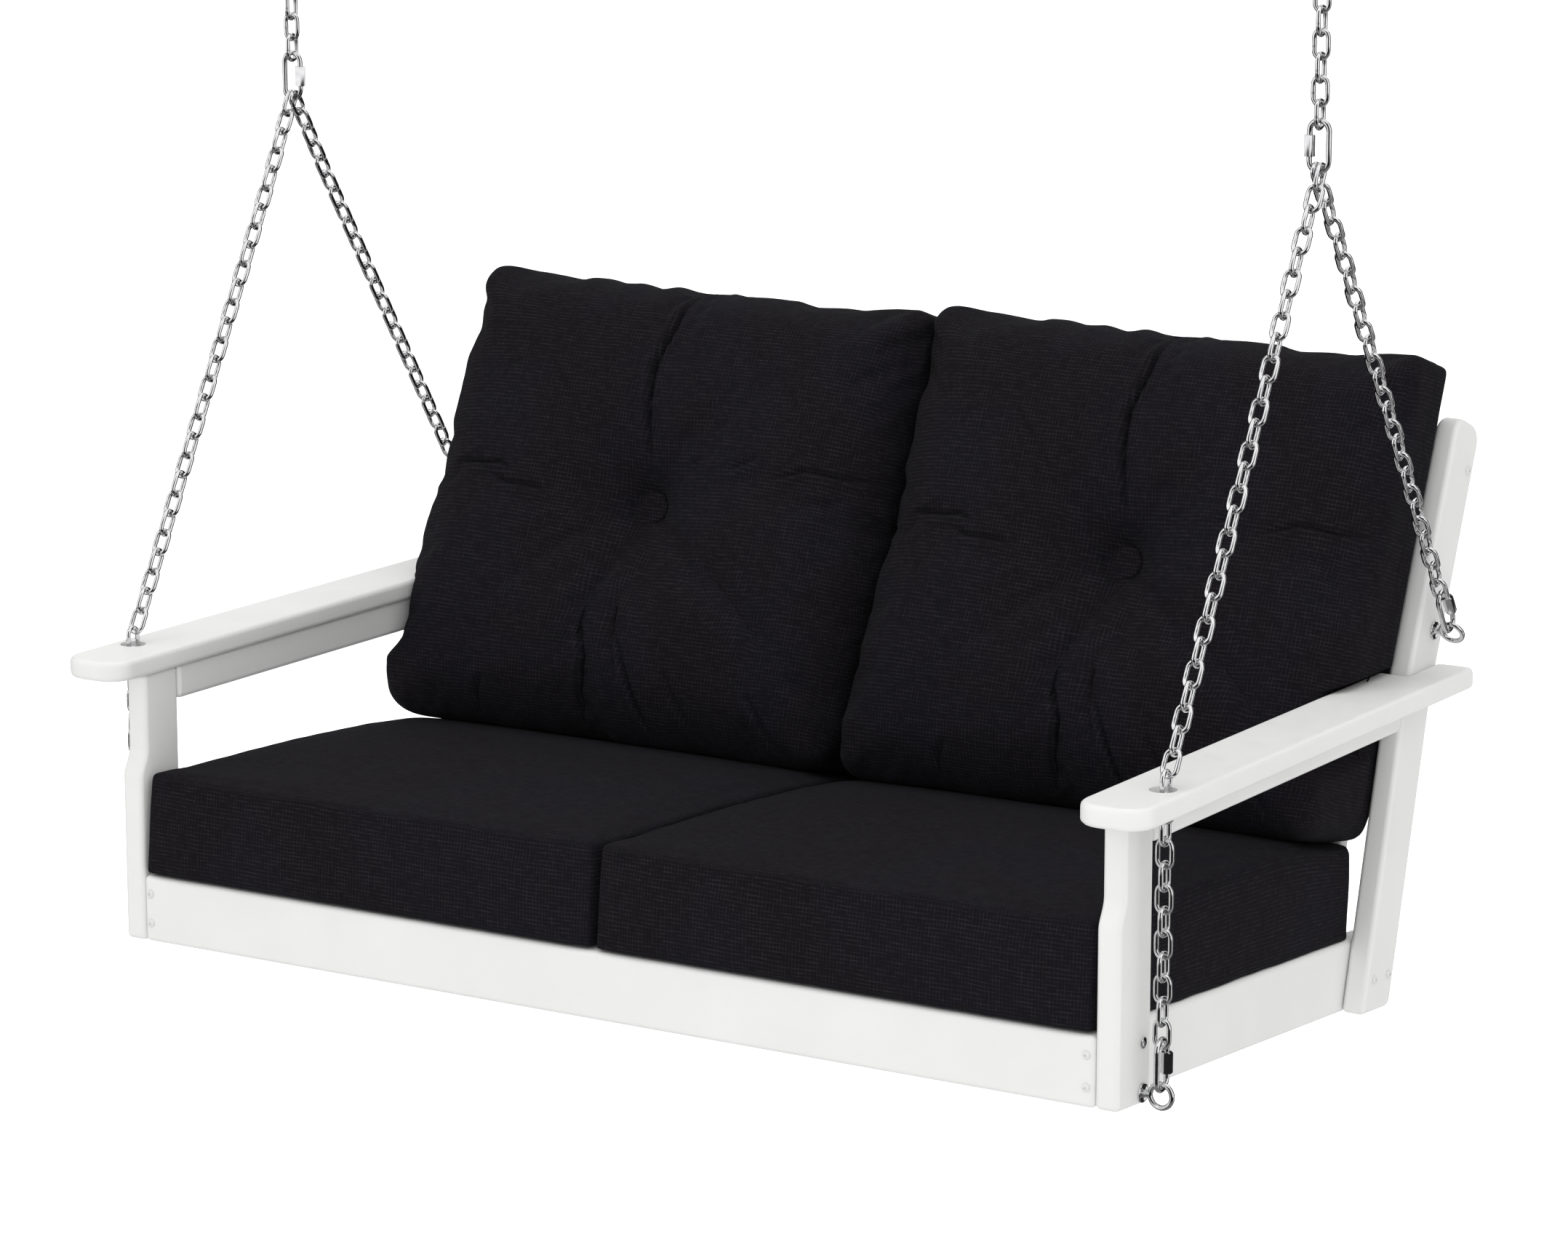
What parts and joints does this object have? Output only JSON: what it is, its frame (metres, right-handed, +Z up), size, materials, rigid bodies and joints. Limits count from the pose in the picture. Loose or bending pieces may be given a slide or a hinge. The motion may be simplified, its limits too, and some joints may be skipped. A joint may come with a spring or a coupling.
{
  "type": "porch swing seat",
  "caption": "Bench swing seat with a flat board frame, flat arms, loose seat and back cushions, and chain bridles that hang from ceiling plates.",
  "frame": {"origin": "middle of the front apron's flat underside, at half the apron's thickness", "axes": "+Z up, -Y towards the open front of the seat, +X to the right side as seen from the front"},
  "size_m": [1.46, 0.9423, 1.7426],
  "materials": {
    "white_board": "satin",
    "cushion_fabric": "matte woven",
    "polished_chain": "polished",
    "polished_steel": "polished"
  },
  "bodies": {
    "hangers": {"ceiling_hanger_left": "polished_steel", "ceiling_hanger_right": "polished_steel"},
    "upper_chains": {"upper_chain_left": "polished_chain", "upper_chain_right": "polished_chain", "quick_link_upper_left": "polished_steel", "quick_link_upper_right": "polished_steel"},
    "seat": {"leg_left": "white_board", "leg_right": "white_board", "back_post_left": "white_board", "back_post_right": "white_board", "arm_rail_left": "white_board", "arm_rail_right": "white_board", "armrest_left": "white_board", "armrest_right": "white_board", "side_rail_left": "white_board", "side_rail_right": "white_board", "front_apron": "white_board", "rear_rail": "white_board", "centre_support": "white_board", "top_back_rail": "white_board", "seat_slat_1": "white_board", "seat_slat_2": "white_board", "seat_slat_3": "white_board", "seat_slat_4": "white_board", "seat_slat_5": "white_board", "back_slat_1": "white_board", "back_slat_2": "white_board", "back_slat_3": "white_board", "back_slat_4": "white_board", "back_slat_5": "white_board", "back_slat_6": "white_board", "back_slat_7": "white_board", "eye_bolt_front_left": "polished_steel", "eye_bolt_front_right": "polished_steel", "eye_bolt_rear_left": "polished_steel", "eye_bolt_rear_right": "polished_steel", "eye_bolt_nut_front_left": "polished_steel", "eye_bolt_nut_front_right": "polished_steel", "eye_bolt_nut_rear_left": "polished_steel", "eye_bolt_nut_rear_right": "polished_steel", "leg_screw_left": "polished_steel", "leg_screw_right": "polished_steel", "quick_link_front_left": "polished_steel", "quick_link_front_right": "polished_steel", "quick_link_rear_left": "polished_steel", "quick_link_rear_right": "polished_steel", "front_bridle_chain_left": "polished_chain", "front_bridle_chain_right": "polished_chain", "rear_bridle_chain_left": "polished_chain", "rear_bridle_chain_right": "polished_chain"},
    "left_seat_cushion": {"seat_cushion_left": "cushion_fabric"},
    "left_back_cushion": {"back_cushion_left": "cushion_fabric"},
    "right_seat_cushion": {"seat_cushion_right": "cushion_fabric"},
    "right_back_cushion": {"back_cushion_right": "cushion_fabric"},
    "sleeve_upper_left": {"quick_link_sleeve_upper_left": "polished_steel"},
    "sleeve_upper_right": {"quick_link_sleeve_upper_right": "polished_steel"},
    "sleeve_front_left": {"quick_link_sleeve_front_left": "polished_steel"},
    "sleeve_front_right": {"quick_link_sleeve_front_right": "polished_steel"},
    "sleeve_rear_left": {"quick_link_sleeve_rear_left": "polished_steel"},
    "sleeve_rear_right": {"quick_link_sleeve_rear_right": "polished_steel"}
  },
  "joints": [
    {"name": "swing", "type": "hinge", "parent": "hangers", "child": "upper_chains", "pos_m": [0, 0.3805, 1.6595], "axis": [1, 0, 0], "range_deg": [-30, 30]},
    {"name": "seat_pitch", "type": "hinge", "parent": "upper_chains", "child": "seat", "pos_m": [0, 0.3805, 0.977], "axis": [1, 0, 0], "range_deg": [-12, 12]},
    {"name": "left_seat_cushion_slide", "type": "slide", "parent": "seat", "child": "left_seat_cushion", "axis": [0, -0.9976, 0.0689], "range_m": [0, 0.25]},
    {"name": "right_seat_cushion_slide", "type": "slide", "parent": "seat", "child": "right_seat_cushion", "axis": [0, -0.9976, 0.0689], "range_m": [0, 0.25]},
    {"name": "left_back_cushion_lift", "type": "slide", "parent": "seat", "child": "left_back_cushion", "axis": [0, 0.309, 0.9511], "range_m": [0, 0.25]},
    {"name": "right_back_cushion_lift", "type": "slide", "parent": "seat", "child": "right_back_cushion", "axis": [0, 0.309, 0.9511], "range_m": [0, 0.25]},
    {"name": "sleeve_upper_left_travel", "type": "slide", "parent": "upper_chains", "child": "sleeve_upper_left", "axis": [0, 0, 1], "range_m": [0, 0.004]},
    {"name": "sleeve_upper_right_travel", "type": "slide", "parent": "upper_chains", "child": "sleeve_upper_right", "axis": [0, 0, 1], "range_m": [0, 0.004]},
    {"name": "sleeve_front_left_travel", "type": "slide", "parent": "seat", "child": "sleeve_front_left", "axis": [0, 0, 1], "range_m": [0, 0.004]},
    {"name": "sleeve_front_right_travel", "type": "slide", "parent": "seat", "child": "sleeve_front_right", "axis": [0, 0, 1], "range_m": [0, 0.004]},
    {"name": "sleeve_rear_left_travel", "type": "slide", "parent": "seat", "child": "sleeve_rear_left", "axis": [0, -0.5479, 0.8365], "range_m": [0, 0.004]},
    {"name": "sleeve_rear_right_travel", "type": "slide", "parent": "seat", "child": "sleeve_rear_right", "axis": [0, -0.5479, 0.8365], "range_m": [0, 0.004]}
  ]
}
